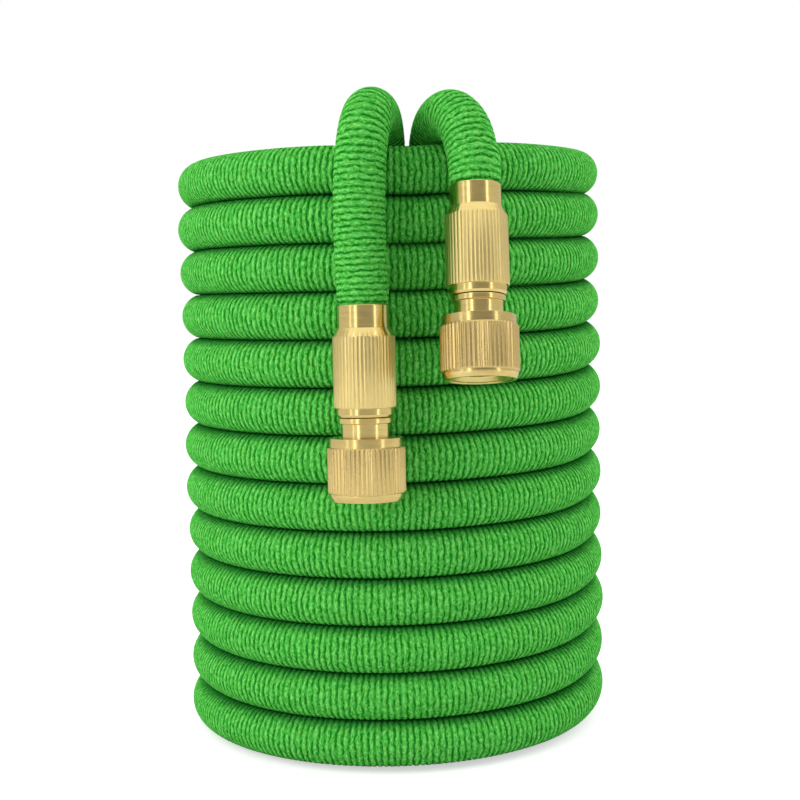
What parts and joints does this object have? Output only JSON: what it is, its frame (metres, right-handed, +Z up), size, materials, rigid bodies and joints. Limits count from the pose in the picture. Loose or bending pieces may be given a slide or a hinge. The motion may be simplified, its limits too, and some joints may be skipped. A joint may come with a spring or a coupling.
{
  "type": "garden hose",
  "caption": "Fabric-covered stretch garden hose wound into an upright coil, its ends arched over the top and hanging in front, each with a brass quick connector and sliding release collar.",
  "frame": {"origin": "centre of the footprint at floor level, under the standing coil and the fittings in front of it", "axes": "+Z up along the coil's axis, -Y towards the front where the fittings hang, +X to the right seen from the front"},
  "size_m": [0.209, 0.2518, 0.3017],
  "materials": {
    "green_fabric": "ribbed woven sleeve, matte, bright green with dark green grooves",
    "polished_brass": "turned bright, near mirror",
    "satin_brass": "satin, with straight flutes",
    "black_rubber": "matte"
  },
  "bodies": {
    "hose": {"hose_coil": "green_fabric", "left_hose_tail": "green_fabric", "right_hose_tail": "green_fabric", "left_ferrule": "polished_brass", "left_coupling_nut": "satin_brass", "left_connector_body": "polished_brass", "left_seal_washer": "black_rubber", "right_ferrule": "polished_brass", "right_coupling_nut": "satin_brass", "right_connector_body": "polished_brass", "right_seal_washer": "black_rubber"},
    "left_collar": {"left_release_collar": "satin_brass"},
    "right_collar": {"right_release_collar": "satin_brass"}
  },
  "joints": [
    {"name": "left_collar_slide", "type": "slide", "parent": "hose", "child": "left_collar", "axis": [0, 0.0349, 0.9994], "range_m": [0, 0.0045], "stiffness_N_per_m": 2500},
    {"name": "right_collar_slide", "type": "slide", "parent": "hose", "child": "right_collar", "axis": [0, 0.1822, 0.9833], "range_m": [0, 0.0045], "stiffness_N_per_m": 2500}
  ]
}
